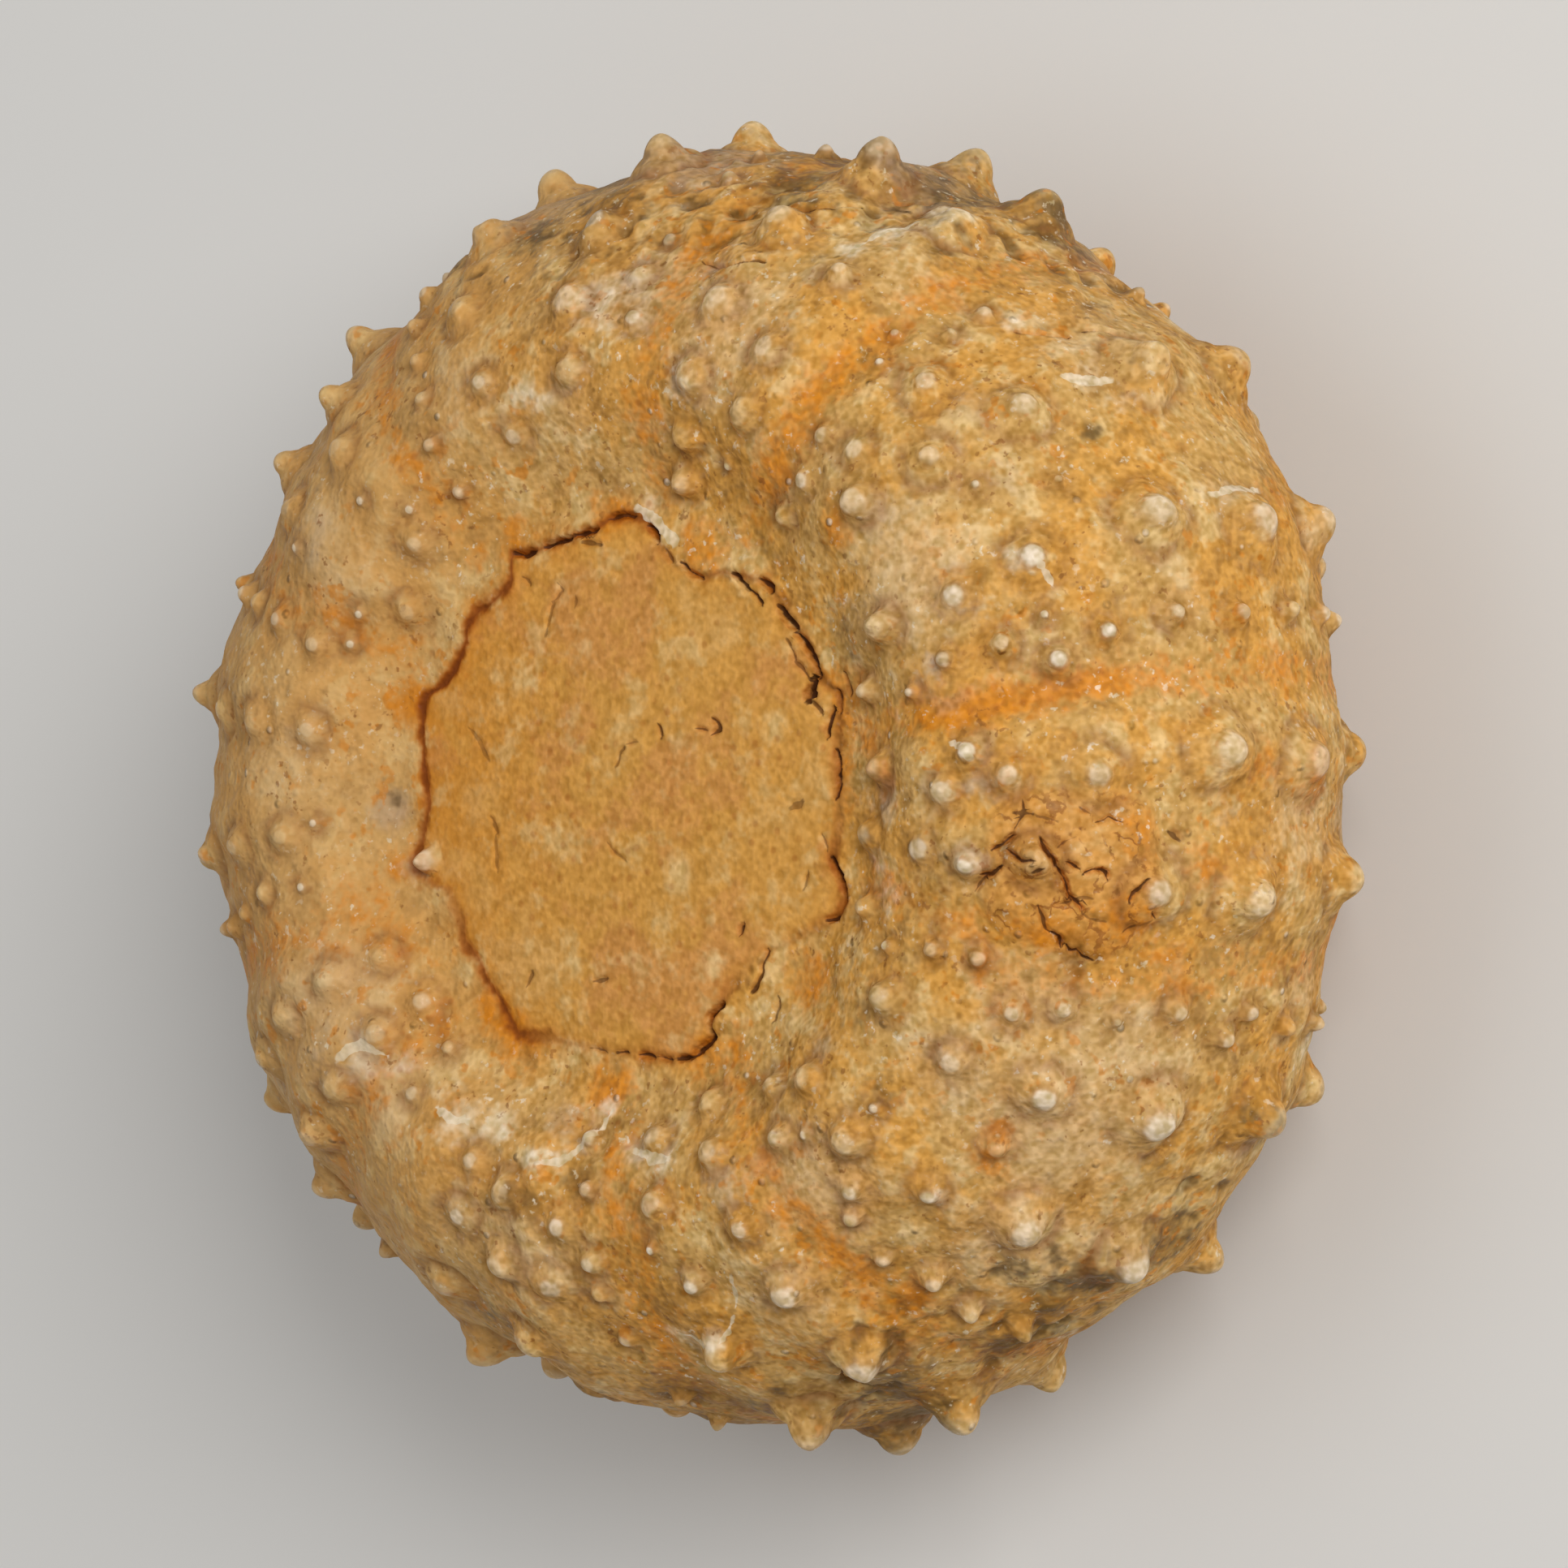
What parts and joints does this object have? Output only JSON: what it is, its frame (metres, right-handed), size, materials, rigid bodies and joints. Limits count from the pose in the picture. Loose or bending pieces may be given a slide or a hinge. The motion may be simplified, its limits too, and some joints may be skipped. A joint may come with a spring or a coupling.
{
  "type": "fossil sea urchin",
  "caption": "Low bun-shaped fossil sea urchin, studded with knobbed tubercles, its round mouth closed by a flat sediment fill.",
  "frame": {"origin": "on the urchin's axis, where it meets the worn flat base that the fossil rests on", "axes": "+Z along the urchin's axis, from the worn base to the sediment-filled mouth; -Y towards the first ambulacrum, which carries the cracked sediment crust"},
  "size_m": [0.0377, 0.0383, 0.0181],
  "materials": {
    "fossil_limestone": "matt tan limestone with orange iron stains, chalky white patches and dark hairline cracks"
  },
  "bodies": {
    "root": {"fossil_sea_urchin": "fossil_limestone"}
  },
  "joints": []
}
